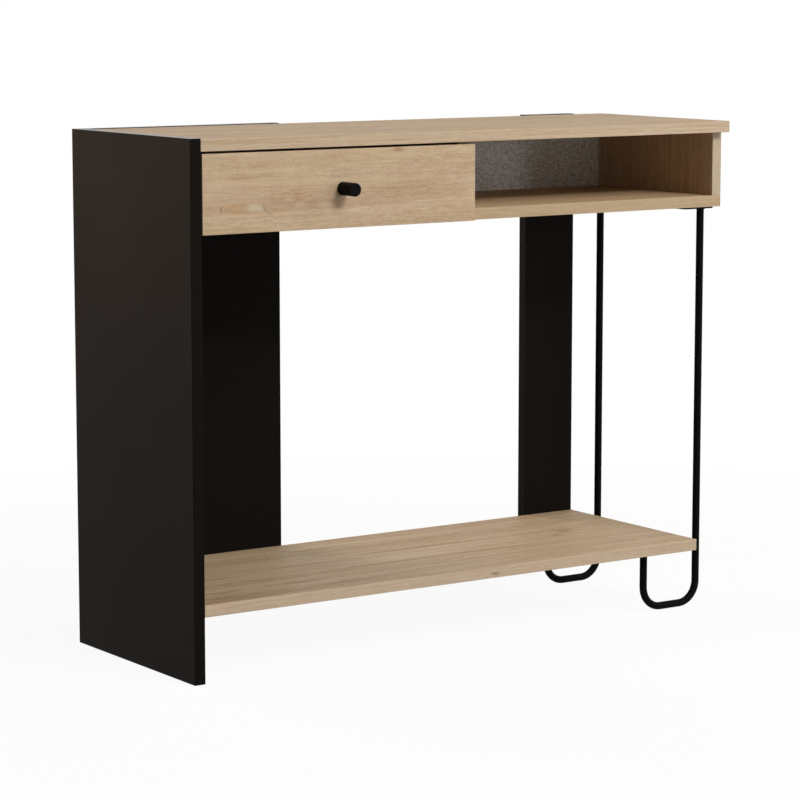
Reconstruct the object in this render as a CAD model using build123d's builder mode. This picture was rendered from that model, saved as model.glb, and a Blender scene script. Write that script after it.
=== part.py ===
"""Writing desk with one drawer: a black side panel and two bent rod legs carry a shallow oak box
and a lower shelf, tied together at the back by two black uprights. Millimetres, +Z up.

X runs along the desk, Y from front to back. The origin lies on the floor, in the middle of the
desk's width and of its depth with the knob.
"""
import os
from math import sqrt

from build123d import *

os.makedirs("parts", exist_ok=True)

# Overall size
desk_width = 1000.0
desk_depth = 352.0            # front edges to the back of the uprights, without the knob
desk_height = 793.0

# Boards
board = 18.0                  # thickness of every carcass board
edge_radius = 0.6             # rounding of the boards' edge banding
panel_proud = 1.0             # side panel and uprights above the tabletop
niche_height = 102.0          # clear height between tabletop and box floor
box_setback = 20.0            # box floor, partition and short side behind the front edges
drawer_bay_width = 462.0      # clear width between side panel and partition
shelf_clearance = 99.0        # floor to the underside of the shelf
wide_upright_width = 340.0
narrow_upright_width = 100.0

# Rod legs
rod_diameter = 12.0
rod_pitch = 109.0             # outer to inner branch of one leg
rod_bend = 34.5               # bend radius of the rod's centre line
rod_inset = 28.0              # outer branch in from the desk's right end
rod_setback = 37.0            # leg in from the shelf's front and back edges
rod_shelf_gap = 23.0          # outer branch to the right end of the lower shelf
plate_length = 60.0
plate_width = 30.0
plate_thickness = 2.5
plate_corner = 3.0
plate_overhang = 15.0         # plate past the rod's centre on its short side
plate_screw_reach = (19.0, 38.0)   # rod's centre to the two screws

# Drawer
side_gap = 2.0                # drawer front to side panel
top_gap = 3.5                 # drawer front to tabletop
bottom_gap = 0.5              # drawer front above the box floor's underside
drawer_board = 12.0
drawer_side_height = 70.0
drawer_side_length = 260.0
drawer_lift = 12.0            # drawer sides above the box floor
bottom_thickness = 3.0
bottom_lift = 8.0             # drawer bottom above the lower edge of the sides
groove_depth = 5.0
groove_play = 0.3             # all round the drawer bottom in its groove
drawer_travel = 190.0
knob_diameter = 20.0
knob_length = 34.0
knob_edge = 0.8

# Roller runners
runner_length = 250.0
runner_gap = 12.5             # room for a runner pair on each side of the drawer
steel = 1.2                   # sheet of the runners
channel_width = 10.0          # cabinet runner, over its web and lip
channel_clear = 21.5          # clear height inside the cabinet runner
channel_lip = 4.0
channel_lift = 6.0            # cabinet runner above the box floor
flange_gap = 1.8              # drawer runner's flange to the cabinet runner's web
seat_width = 11.0             # drawer runner's seat under the drawer side
runner_setback = 2.0          # runners behind the edge or face in front of them
front_roller_diameter = 16.0
rear_roller_diameter = 18.0
roller_width = 5.0
roller_offset = 5.9           # middle of the rollers from the cabinet board
roller_inset = 12.0           # roller axes in from their runner's end
pin_diameter = 4.0
pin_collar = 6.2              # collar and head that keep the roller on its pin
pin_head = 0.8
rolling_gap = 0.3             # rollers to the track they run on
stop_rib = 2.2                # pressed rib that stops the rear roller
running_fit = 0.05            # radial, roller on pin

# Fasteners
fit = 0.1                     # radial, fastener in its bore
socket_width = 4.0            # hexagon socket of the long screws
socket_depth = 2.6
long_screw = 50.0
long_screw_shank = 6.8
long_screw_core = 5.0
long_screw_head = 10.0
dowel_diameter = 8.0
dowel_length = 30.0
dowel_play = 1.0              # empty depth at each end of a dowel
dowel_share = 12.0            # length of a dowel in the face-bored board
cam_diameter = 15.0
cam_height = 13.0
cam_setback = 34.0            # cam centre from the board's end
drawer_cam_diameter = 12.0
drawer_cam_height = 9.0
drawer_cam_setback = 24.0
bolt_thread = 5.0
bolt_thread_length = 11.0
bolt_neck = 3.6
bolt_collar = 6.4
bolt_throat = 7.4             # bore that the bolt passes through
cam_slot = 1.2
wood_screw = 4.0
wood_screw_head = 8.0
wood_screw_length = 16.0
runner_screw = 3.5
runner_screw_head = 6.6
runner_screw_length = 13.0
seat_screw_length = 8.0       # drawer runner to drawer side
bottom_screw_length = 14.0    # drawer bottom to drawer back
flat_head_height = 1.8
back_screw_length = 35.0
knob_screw_length = 32.0
knob_screw_head = 8.0
knob_screw_head_height = 2.4

# Where fasteners go
fitting_inset = 60.0          # first bolt from a board's front or back edge
dowel_step = 32.0             # dowel beside each bolt
upright_screw_inset = 25.0    # screws in from an upright's edges
rib_screw_inset = 80.0        # screws and dowels in from the ends of partition and short side
back_screw_inset = 130.0      # back board: first screw from its ends
runner_screw_places = (40.0, 128.0, 224.0)   # from a runner's front end
seat_screw_places = (30.0, 128.0, 205.0)
drawer_fitting_inset = 18.0   # drawer: bolts and screws in from the top of the sides
drawer_fitting_pitch = 24.0
bottom_screw_inset = 60.0     # drawer bottom: outer screws from the sides

# Planes and levels worked out from the sizes above
x_outer = -desk_width / 2
x_inner = x_outer + board
x_right = desk_width / 2
y_tip = -(desk_depth + knob_length) / 2
y_front = y_tip + knob_length
y_back = y_front + desk_depth
y_board_back = y_back - board
y_niche_back = y_board_back - board
y_box = y_front + box_setback
z_top = desk_height - panel_proud
z_under_top = z_top - board
z_floor_top = z_under_top - niche_height
z_floor_under = z_floor_top - board
z_shelf_top = shelf_clearance + board
x_partition = x_inner + drawer_bay_width
x_partition_end = x_partition + board
x_short_side = x_right - board
x_rod_outer = x_right - rod_inset
x_rod_inner = x_rod_outer - rod_pitch
x_shelf_end = x_rod_outer - rod_diameter / 2 - rod_shelf_gap
board_levels = ((shelf_clearance, z_shelf_top), (z_floor_under, z_floor_top), (z_under_top, z_top))
board_middles = [(low + high) / 2 for low, high in board_levels]

UP, DOWN = (0, 0, 1), (0, 0, -1)
LEFT, RIGHT = (-1, 0, 0), (1, 0, 0)
FRONT, BACK = (0, -1, 0), (0, 1, 0)


def block(x, y, z):
    """Adds the box between the low and high value of each axis to the part being built."""
    middle = tuple((low + high) / 2 for low, high in (x, y, z))
    with Locations(middle):
        return Box(x[1] - x[0], y[1] - y[0], z[1] - z[0])


def banded_board(x, y, z):
    """Adds a board with its edges rounded by the edge banding."""
    panel = block(x, y, z)
    fillet(panel.edges(), radius=min(edge_radius, board / 3))


def seats(points, way, along=None):
    """Planes on a face at the points: bores go in against way, fasteners stand along it."""
    return [Plane(origin=point, x_dir=along, z_dir=way) for point in points]


def turned(profile):
    """The solid of revolution of a profile of (radius, height) points about the Z axis."""
    with BuildPart() as piece:
        with BuildSketch(Plane.XZ):
            with BuildLine():
                Polyline(profile, close=True)
            make_face()
        revolve(axis=Axis.Z)
    return piece.part


# ---------------------------------------------------------------- fasteners, each made once
def long_screw_body(clamped):
    """Long furniture screw, its head flush at the origin, with a thick shank through one board."""
    head, shank, core = long_screw_head / 2, long_screw_shank / 2, long_screw_core / 2
    shape = turned([(0, 0), (head, 0), (shank, shank - head), (shank, -clamped),
                    (core, -clamped), (core, core - long_screw), (0, -long_screw)])
    with BuildPart() as screw:
        add(shape)
        with BuildSketch(Plane.XY):
            RegularPolygon(radius=socket_width / 2, side_count=6, major_radius=False)
        extrude(amount=-socket_depth, mode=Mode.SUBTRACT)
    return screw.part


def countersunk_body(diameter, head_diameter, length):
    """Countersunk wood screw, its head flush at the origin."""
    head, shank = head_diameter / 2, diameter / 2
    return turned([(0, 0), (head, 0), (shank, shank - head), (shank, shank - length), (0, -length)])


def flat_head_body(diameter, head_diameter, head_height, length):
    """Screw with a flat raised head that stands on the face at the origin."""
    head, shank = head_diameter / 2, diameter / 2
    return turned([(0, head_height), (head * 0.8, head_height), (head, head_height / 2), (head, 0),
                   (shank, 0), (shank, shank - length), (0, -length)])


def cam_bolt_body(setback):
    """Bolt of a cam fitting: thread below the face at the origin, collar, neck and round head."""
    thread, collar, neck = bolt_thread / 2, bolt_collar / 2, bolt_neck / 2
    neck_start, neck_end = setback - 3 * neck, setback - neck
    return turned([(0, -bolt_thread_length), (thread, -bolt_thread_length), (thread, 0),
                   (collar, 0), (collar, neck_start), (neck, neck_start), (neck, neck_end),
                   (collar, setback), (collar, setback + neck), (0, setback + neck)])


def cam_body(diameter, height, axis_depth):
    """Cam disc, its slotted face at the origin, opened towards the bolt that comes in along +X."""
    with BuildPart() as cam:
        with Locations((0, 0, -height / 2)):
            Cylinder(diameter / 2 - fit, height)
        with Locations(Plane(origin=(diameter / 2, 0, -axis_depth), z_dir=RIGHT)):
            Hole(bolt_throat / 2, diameter * 0.75)
        with BuildSketch(Plane.XY):
            Rectangle(diameter * 0.6, cam_slot)
            Rectangle(cam_slot, diameter * 0.6)
        extrude(amount=-cam_slot, mode=Mode.SUBTRACT)
    return cam.part


long_screw_solid = long_screw_body(board)
plate_screw_solid = countersunk_body(wood_screw, wood_screw_head, wood_screw_length)
back_screw_solid = countersunk_body(wood_screw, wood_screw_head, back_screw_length)
runner_screw_solid = countersunk_body(runner_screw, runner_screw_head, runner_screw_length)
seat_screw_solid = flat_head_body(runner_screw, runner_screw_head, flat_head_height,
                                  seat_screw_length)
bottom_screw_solid = flat_head_body(runner_screw, runner_screw_head, flat_head_height,
                                    bottom_screw_length)
knob_screw_solid = flat_head_body(wood_screw, knob_screw_head, knob_screw_head_height,
                                  knob_screw_length)
cam_bolt_solid = cam_bolt_body(cam_setback)
drawer_cam_bolt_solid = cam_bolt_body(drawer_cam_setback)
cam_solid = cam_body(cam_diameter, cam_height, board / 2)
drawer_cam_solid = cam_body(drawer_cam_diameter, drawer_cam_height, drawer_board / 2)
dowel_solid = turned([(0, 0), (dowel_diameter / 2, 0), (dowel_diameter / 2, -dowel_length),
                      (0, -dowel_length)])


# ---------------------------------------------------------------- places of the fittings
fitting_ys = (y_front + fitting_inset, y_board_back - fitting_inset)
dowel_ys = (fitting_ys[0] + dowel_step, fitting_ys[1] - dowel_step)
rib_ys = (y_box + rib_screw_inset, y_niche_back - rib_screw_inset)
wide_xs = (x_inner, x_inner + wide_upright_width)
narrow_xs = (x_shelf_end - narrow_upright_width, x_shelf_end)
upright_screw_xs = [x for low, high in (wide_xs, narrow_xs)
                    for x in (low + upright_screw_inset, high - upright_screw_inset)]
x_back_first = x_inner + back_screw_inset
back_step = (x_short_side - back_screw_inset - x_back_first) / 3
back_xs = [x_back_first + step * back_step for step in range(4)]
rib_xs = (x_partition + board / 2, x_short_side + board / 2)
y_back_middle = y_board_back - board / 2

rib_points = [(x, y) for x in rib_xs for y in rib_ys]
back_points = [(x, y_back_middle) for x in back_xs]


def end_bores(level):
    """Cuts a board's left end and underside for the two cam fittings and two dowels."""
    low, high = level
    middle = (low + high) / 2
    with Locations(*seats([(x_inner, y, middle) for y in fitting_ys], LEFT)):
        Hole(bolt_throat / 2, cam_setback + bolt_neck)
    with Locations(*seats([(x_inner, y, middle) for y in dowel_ys], LEFT)):
        Hole(dowel_diameter / 2 + fit, dowel_length - dowel_share + dowel_play)
    with Locations(*seats([(x_inner + cam_setback, y, low) for y in fitting_ys], DOWN)):
        Hole(cam_diameter / 2, cam_height + fit)


def upright_bores(middle):
    """Cuts a board's back edge for the long screws of the uprights."""
    with Locations(*seats([(x, y_board_back, middle) for x in upright_screw_xs], BACK)):
        Hole(long_screw_core / 2 + fit, long_screw - board + fit)


def dowel_bores(points, z, way, depth):
    """Cuts dowel bores into the horizontal face at height z."""
    with Locations(*seats([(x, y, z) for x, y in points], way)):
        Hole(dowel_diameter / 2 + fit, depth)


def screw_end_bores(points):
    """Cuts the lower edge of a board that stands on the box floor for the long screws."""
    with Locations(*seats([(x, y, z_floor_top) for x, y in points], DOWN)):
        Hole(long_screw_core / 2 + fit, long_screw - board + fit)


# ---------------------------------------------------------------- rod legs: places
y_rods = (y_front + rod_setback, y_board_back - rod_setback)
z_top_plate = z_floor_under - plate_thickness
z_shelf_plate = shelf_clearance - plate_thickness


def plate_screw_points(x_rod, y):
    """Screw places of one plate, on the side of the rod that faces the side panel."""
    return [(x_rod - reach, y) for reach in plate_screw_reach]


top_plate_screws = [point for y in y_rods for point in plate_screw_points(x_rod_outer, y)]
shelf_plate_screws = [point for y in y_rods for point in plate_screw_points(x_rod_inner, y)]


def plate_bores(points, z):
    """Cuts the underside of a board for the wood screws of the plates."""
    with Locations(*seats([(x, y, z) for x, y in points], DOWN)):
        Hole(wood_screw / 2 + fit, wood_screw_length - plate_thickness + fit)


# ---------------------------------------------------------------- runners: places
x_left_face, x_right_face = x_inner, x_partition           # faces that carry the runners
z_channel = z_floor_top + channel_lift
z_track = z_channel + steel
z_side = z_floor_top + drawer_lift
y_cabinet_runner = y_box + runner_setback
y_drawer_back_of_front = y_front + board
y_drawer_runner = y_drawer_back_of_front + runner_setback
z_rear_axis = z_track + rolling_gap + rear_roller_diameter / 2
z_flange = z_rear_axis + rear_roller_diameter / 2 + 2 * rolling_gap
z_front_axis = z_flange - rolling_gap - front_roller_diameter / 2
y_front_axis = y_cabinet_runner + roller_inset
y_rear_axis = y_drawer_runner + runner_length - roller_inset
z_runner_screw = z_track + channel_clear / 2
runner_screw_ys = [y_cabinet_runner + place for place in runner_screw_places]
seat_screw_ys = [y_drawer_runner + place for place in seat_screw_places]
runner_dimple = (runner_screw_head - runner_screw) / 2 - steel


def runner_face_bores(x_face, way):
    """Cuts the board that carries a cabinet runner for its countersunk screws."""
    with Locations(*seats([(x_face, y, z_runner_screw) for y in runner_screw_ys], way)):
        CounterSinkHole(runner_screw / 2 + fit, runner_screw / 2 + fit + runner_dimple,
                        depth=runner_screw_length - steel + fit, counter_sink_angle=90)


# ================================================================ carcass
with BuildPart() as left_side_panel:
    banded_board((x_outer, x_inner), (y_front, y_back), (0, desk_height))
    for middle in board_middles:
        with Locations(*seats([(x_inner, y, middle) for y in fitting_ys], RIGHT)):
            Hole(bolt_thread / 2 + fit, bolt_thread_length + fit)
        with Locations(*seats([(x_inner, y, middle) for y in dowel_ys], RIGHT)):
            Hole(dowel_diameter / 2 + fit, dowel_share + dowel_play)
    runner_face_bores(x_left_face, RIGHT)
left_side_panel.part.label = "left_side_panel"
export_step(left_side_panel.part, "parts/left_side_panel.step")

with BuildPart() as tabletop:
    banded_board((x_inner, x_right), (y_front, y_board_back), (z_under_top, z_top))
    end_bores((z_under_top, z_top))
    upright_bores((z_under_top + z_top) / 2)
    dowel_bores(rib_points + back_points, z_under_top, DOWN, dowel_share + dowel_play)
tabletop.part.label = "tabletop"
export_step(tabletop.part, "parts/tabletop.step")

with BuildPart() as box_floor:
    banded_board((x_inner, x_right), (y_box, y_board_back), (z_floor_under, z_floor_top))
    end_bores((z_floor_under, z_floor_top))
    upright_bores((z_floor_under + z_floor_top) / 2)
    plate_bores(top_plate_screws, z_floor_under)
    with Locations(*seats([(x, y, z_floor_under) for x, y in rib_points + back_points], DOWN)):
        CounterSinkHole(long_screw_shank / 2 + fit, long_screw_head / 2 + fit, counter_sink_angle=90)
box_floor.part.label = "box_floor"
export_step(box_floor.part, "parts/box_floor.step")

with BuildPart() as right_short_side:
    banded_board((x_short_side, x_right), (y_box, y_board_back), (z_floor_top, z_under_top))
    screw_end_bores(rib_points[2:])
    dowel_bores(rib_points[2:], z_under_top, UP, dowel_length - dowel_share + dowel_play)
right_short_side.part.label = "right_short_side"
export_step(right_short_side.part, "parts/right_short_side.step")

with BuildPart() as partition:
    banded_board((x_partition, x_partition_end), (y_box, y_niche_back), (z_floor_top, z_under_top))
    screw_end_bores(rib_points[:2])
    dowel_bores(rib_points[:2], z_under_top, UP, dowel_length - dowel_share + dowel_play)
    runner_face_bores(x_right_face, LEFT)
partition.part.label = "partition"
export_step(partition.part, "parts/partition.step")

with BuildPart() as back_board:
    block((x_inner, x_short_side), (y_niche_back, y_board_back), (z_floor_top, z_under_top))
    screw_end_bores(back_points)
    dowel_bores(back_points, z_under_top, UP, dowel_length - dowel_share + dowel_play)
back_board.part.label = "back_board"
export_step(back_board.part, "parts/back_board.step")

with BuildPart() as lower_shelf:
    banded_board((x_inner, x_shelf_end), (y_front, y_board_back), (shelf_clearance, z_shelf_top))
    end_bores((shelf_clearance, z_shelf_top))
    upright_bores((shelf_clearance + z_shelf_top) / 2)
    plate_bores(shelf_plate_screws, shelf_clearance)
lower_shelf.part.label = "lower_shelf"
export_step(lower_shelf.part, "parts/lower_shelf.step")


def upright_screw_holes(low, high):
    """Cuts the long screws' countersunk holes through the upright that spans low to high in X."""
    points = [(x, y_back, middle) for x in upright_screw_xs if low < x < high
              for middle in board_middles]
    with Locations(*seats(points, BACK)):
        CounterSinkHole(long_screw_shank / 2 + fit, long_screw_head / 2 + fit, counter_sink_angle=90)


with BuildPart() as wide_upright:
    banded_board(wide_xs, (y_board_back, y_back), (shelf_clearance, desk_height))
    upright_screw_holes(*wide_xs)
wide_upright.part.label = "wide_upright"
export_step(wide_upright.part, "parts/wide_upright.step")

with BuildPart() as narrow_upright:
    banded_board(narrow_xs, (y_board_back, y_back), (shelf_clearance, desk_height))
    upright_screw_holes(*narrow_xs)
narrow_upright.part.label = "narrow_upright"
export_step(narrow_upright.part, "parts/narrow_upright.step")


# ================================================================ rod legs
def bent_rod(y):
    """One leg at depth y: down from the box, round the U-shaped foot on the floor, up to the shelf."""
    z_centre = rod_diameter / 2
    with BuildPart() as rod:
        with BuildLine(Plane.XZ.offset(-y)) as route:
            FilletPolyline((x_rod_outer, z_top_plate), (x_rod_outer, z_centre),
                           (x_rod_inner, z_centre), (x_rod_inner, z_shelf_plate), radius=rod_bend)
        with BuildSketch(Plane(origin=route.line @ 0, z_dir=route.line % 0)):
            Circle(rod_diameter / 2)
        sweep()
    return rod


def leg_plate(x_rod, y, z):
    """Screw plate welded to a rod's end, its underside at height z."""
    x_low, x_high = x_rod + plate_overhang - plate_length, x_rod + plate_overhang
    with BuildPart() as plate:
        upright_edges = block((x_low, x_high), (y - plate_width / 2, y + plate_width / 2),
                              (z, z + plate_thickness)).edges().filter_by(Axis.Z)
        fillet(upright_edges, radius=plate_corner)
        with Locations(*seats([(px, py, z) for px, py in plate_screw_points(x_rod, y)], DOWN)):
            CounterSinkHole(wood_screw / 2 + fit, wood_screw_head / 2 + fit, counter_sink_angle=90)
    return plate


for place, y in zip(("front", "rear"), y_rods):
    leg = bent_rod(y)
    leg.part.label = f"{place}_rod_leg"
    export_step(leg.part, f"parts/{place}_rod_leg.step")
    top_plate = leg_plate(x_rod_outer, y, z_top_plate)
    top_plate.part.label = f"{place}_top_plate"
    export_step(top_plate.part, f"parts/{place}_top_plate.step")
    shelf_plate = leg_plate(x_rod_inner, y, z_shelf_plate)
    shelf_plate.part.label = f"{place}_shelf_plate"
    export_step(shelf_plate.part, f"parts/{place}_shelf_plate.step")

plate_screw_seats = ([(x, y, z_top_plate) for x, y in top_plate_screws]
                     + [(x, y, z_shelf_plate) for x, y in shelf_plate_screws])
with BuildPart() as plate_screws:
    with Locations(*seats(plate_screw_seats, DOWN)):
        add(plate_screw_solid)
plate_screws.part.label = "plate_screws"
export_step(plate_screws.part, "parts/plate_screws.step")

# ================================================================ carcass fasteners
with BuildPart() as cam_bolts:
    with Locations(*seats([(x_inner, y, z) for y in fitting_ys for z in board_middles], RIGHT)):
        add(cam_bolt_solid)
cam_bolts.part.label = "cam_bolts"
export_step(cam_bolts.part, "parts/cam_bolts.step")

cam_points = [(x_inner + cam_setback, y, low) for y in fitting_ys for low, high in board_levels]
with BuildPart() as cam_locks:
    with Locations(*seats(cam_points, DOWN, along=LEFT)):
        add(cam_solid)
cam_locks.part.label = "cam_locks"
export_step(cam_locks.part, "parts/cam_locks.step")

dowel_in_panel = [(x_inner - dowel_share, y, z) for y in dowel_ys for z in board_middles]
dowel_in_top = [(x, y, z_under_top + dowel_share) for x, y in rib_points + back_points]
with BuildPart() as wood_dowels:
    with Locations(*seats(dowel_in_panel, LEFT), *seats(dowel_in_top, UP)):
        add(dowel_solid)
wood_dowels.part.label = "wood_dowels"
export_step(wood_dowels.part, "parts/wood_dowels.step")

with BuildPart() as upright_screws:
    with Locations(*seats([(x, y_back, z) for x in upright_screw_xs for z in board_middles], BACK)):
        add(long_screw_solid)
upright_screws.part.label = "upright_screws"
export_step(upright_screws.part, "parts/upright_screws.step")

with BuildPart() as box_floor_screws:
    with Locations(*seats([(x, y, z_floor_under) for x, y in rib_points + back_points], DOWN)):
        add(long_screw_solid)
box_floor_screws.part.label = "box_floor_screws"
export_step(box_floor_screws.part, "parts/box_floor_screws.step")


# ================================================================ roller runners
# Both runner pairs have one profile: u runs across the gap, from the board that carries the
# cabinet runner, and z is the height.
u_drawer_web = runner_gap - steel
u_flange = steel + flange_gap
u_roller_near = roller_offset - roller_width / 2
u_roller_far = roller_offset + roller_width / 2
z_channel_top = z_track + channel_clear
rear_reach = rear_roller_diameter / 2 + stop_rib
rear_height = rear_roller_diameter / 2 + rolling_gap
y_stop = (y_rear_axis - drawer_travel - rolling_gap
          - sqrt(rear_reach ** 2 - rear_height ** 2))

cabinet_profile = [(0, z_channel), (channel_width, z_channel), (channel_width, z_track + channel_lip),
                   (channel_width - steel, z_track + channel_lip), (channel_width - steel, z_track),
                   (steel, z_track), (steel, z_channel_top), (channel_width, z_channel_top),
                   (channel_width, z_channel_top + steel), (0, z_channel_top + steel)]
drawer_profile = [(u_flange, z_flange), (u_drawer_web, z_flange), (u_drawer_web, z_side - steel),
                  (runner_gap + seat_width, z_side - steel), (runner_gap + seat_width, z_side),
                  (runner_gap, z_side), (runner_gap, z_flange + steel), (u_flange, z_flange + steel)]
sides = {"left": (x_left_face, 1, RIGHT, LEFT), "right": (x_right_face, -1, LEFT, RIGHT)}
seat_middle = runner_gap + drawer_board / 2


def runner_bar(profile, x_face, sign, y):
    """Adds the sheet profile, extruded over the runner's length from y towards the back."""
    outline = [(x_face + sign * u, z) for u, z in profile]
    with BuildSketch(Plane.XZ.offset(-y)) as section:
        with BuildLine():
            Polyline(outline, close=True)
        make_face()
    extrude(section.sketch, amount=-runner_length)


def cabinet_runner(x_face, sign, inward):
    """Channel screwed to the cabinet board, with the rib that stops the drawer's roller."""
    x_rib = min(x_face + sign * steel, x_face + sign * (channel_width - steel))
    web_face = x_face + sign * steel
    with BuildPart() as runner:
        runner_bar(cabinet_profile, x_face, sign, y_cabinet_runner)
        with BuildSketch(Plane.YZ.offset(x_rib)):
            with BuildLine():
                CenterArc((y_stop, z_track), stop_rib, 0, 180)
                Line((y_stop - stop_rib, z_track), (y_stop + stop_rib, z_track))
            make_face()
        extrude(amount=channel_width - 2 * steel)
        with Locations(*seats([(web_face, y, z_runner_screw) for y in runner_screw_ys], inward)):
            CounterSinkHole(runner_screw / 2 + fit, runner_screw_head / 2 + fit,
                            depth=runner_screw_length, counter_sink_angle=90)
        with Locations(*seats([(web_face, y_front_axis, z_front_axis)], inward)):
            Hole(pin_diameter / 2 + fit, steel)
    return runner


def drawer_runner(x_face, sign, outward):
    """Angle under the drawer side, with the flange that runs on the front roller."""
    with BuildPart() as runner:
        runner_bar(drawer_profile, x_face, sign, y_drawer_runner)
        x_seat = x_face + sign * seat_middle
        with Locations(*seats([(x_seat, y, z_side - steel) for y in seat_screw_ys], DOWN)):
            Hole(runner_screw / 2 + fit, steel)
        web_face = x_face + sign * u_drawer_web
        with Locations(*seats([(web_face, y_rear_axis, z_rear_axis)], outward)):
            Hole(pin_diameter / 2 + fit, steel)
    return runner


def roller(diameter, x_face, sign, y, z):
    """Plastic roller with bevelled edges on the axis at y, z."""
    bore, tread, half = pin_diameter / 2 + running_fit, diameter / 2, roller_width / 2
    bevel = roller_width / 8
    profile = [(bore, -half), (tread - bevel, -half), (tread, bevel - half), (tread, half - bevel),
               (tread - bevel, half), (bore, half)]
    tyre = turned(profile)
    with BuildPart() as wheel:
        with Locations(*seats([(x_face + sign * roller_offset, y, z)], RIGHT)):
            add(tyre)
    return wheel


def pin_body(roller_start, roller_end):
    """Riveted pin from the back of its web at the origin: web, collar, roller seat and head."""
    shaft, collar = pin_diameter / 2, pin_collar / 2
    inner, outer = roller_start - fit, roller_end + fit
    return turned([(0, 0), (shaft, 0), (shaft, steel), (collar, steel), (collar, inner), (shaft, inner),
                   (shaft, outer), (collar, outer), (collar, outer + pin_head), (0, outer + pin_head)])


for side, (x_face, sign, inward, outward) in sides.items():
    fixed_runner = cabinet_runner(x_face, sign, inward)
    fixed_runner.part.label = f"cabinet_runner_{side}"
    export_step(fixed_runner.part, f"parts/cabinet_runner_{side}.step")
    front_roller = roller(front_roller_diameter, x_face, sign, y_front_axis, z_front_axis)
    front_roller.part.label = f"front_roller_{side}"
    export_step(front_roller.part, f"parts/front_roller_{side}.step")
    moving_runner = drawer_runner(x_face, sign, outward)
    moving_runner.part.label = f"drawer_runner_{side}"
    export_step(moving_runner.part, f"parts/drawer_runner_{side}.step")
    rear_roller = roller(rear_roller_diameter, x_face, sign, y_rear_axis, z_rear_axis)
    rear_roller.part.label = f"rear_roller_{side}"
    export_step(rear_roller.part, f"parts/rear_roller_{side}.step")

cabinet_pin = pin_body(u_roller_near, u_roller_far)
drawer_pin = pin_body(runner_gap - u_roller_far, runner_gap - u_roller_near)
with BuildPart() as cabinet_roller_pins:
    for x_face, sign, inward, outward in sides.values():
        with Locations(*seats([(x_face, y_front_axis, z_front_axis)], inward)):
            add(cabinet_pin)
cabinet_roller_pins.part.label = "cabinet_roller_pins"
export_step(cabinet_roller_pins.part, "parts/cabinet_roller_pins.step")

with BuildPart() as drawer_roller_pins:
    for x_face, sign, inward, outward in sides.values():
        with Locations(*seats([(x_face + sign * runner_gap, y_rear_axis, z_rear_axis)], outward)):
            add(drawer_pin)
drawer_roller_pins.part.label = "drawer_roller_pins"
export_step(drawer_roller_pins.part, "parts/drawer_roller_pins.step")

with BuildPart() as cabinet_runner_screws:
    for x_face, sign, inward, outward in sides.values():
        with Locations(*seats([(x_face + sign * steel, y, z_runner_screw)
                               for y in runner_screw_ys], inward)):
            add(runner_screw_solid)
cabinet_runner_screws.part.label = "cabinet_runner_screws"
export_step(cabinet_runner_screws.part, "parts/cabinet_runner_screws.step")

with BuildPart() as drawer_runner_screws:
    for x_face, sign, inward, outward in sides.values():
        with Locations(*seats([(x_face + sign * seat_middle, y, z_side - steel)
                               for y in seat_screw_ys], DOWN)):
            add(seat_screw_solid)
drawer_runner_screws.part.label = "drawer_runner_screws"
export_step(drawer_runner_screws.part, "parts/drawer_runner_screws.step")

# ================================================================ drawer
x_drawer = (x_left_face + runner_gap, x_right_face - runner_gap)
x_cavity = (x_drawer[0] + drawer_board, x_drawer[1] - drawer_board)
y_side_end = y_drawer_back_of_front + drawer_side_length
y_back_middle_of_drawer = y_side_end - drawer_board / 2
z_side_top = z_side + drawer_side_height
z_bottom = (z_side + bottom_lift, z_side + bottom_lift + bottom_thickness)
z_groove = (z_bottom[0] - groove_play, z_bottom[1] + groove_play)
z_drawer_front = (z_floor_under + bottom_gap, z_under_top - top_gap)
x_drawer_front = (x_inner + side_gap, x_partition_end)
x_knob = (x_drawer_front[0] + x_drawer_front[1]) / 2
z_knob = (z_drawer_front[0] + z_drawer_front[1]) / 2
drawer_fitting_zs = (z_side_top - drawer_fitting_inset,
                     z_side_top - drawer_fitting_inset - drawer_fitting_pitch)
drawer_side_middles = (x_drawer[0] + drawer_board / 2, x_drawer[1] - drawer_board / 2)
bottom_screw_xs = (x_cavity[0] + bottom_screw_inset, (x_cavity[0] + x_cavity[1]) / 2,
                   x_cavity[1] - bottom_screw_inset)

with BuildPart() as drawer_front:
    banded_board(x_drawer_front, (y_front, y_drawer_back_of_front), z_drawer_front)
    with BuildSketch(Plane.XZ.offset(-y_drawer_back_of_front)):
        with Locations(((x_cavity[0] + x_cavity[1]) / 2, (z_groove[0] + z_groove[1]) / 2)):
            Rectangle(x_cavity[1] - x_cavity[0] + 2 * groove_depth, z_groove[1] - z_groove[0])
    extrude(amount=groove_depth, mode=Mode.SUBTRACT)
    with Locations(*seats([(x, y_drawer_back_of_front, z) for x in drawer_side_middles
                           for z in drawer_fitting_zs], BACK)):
        Hole(bolt_thread / 2 + fit, bolt_thread_length + fit)
    with Locations(*seats([(x_knob, y_drawer_back_of_front, z_knob)], BACK)):
        Hole(wood_screw / 2 + fit, board)
drawer_front.part.label = "drawer_front"
export_step(drawer_front.part, "parts/drawer_front.step")


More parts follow.
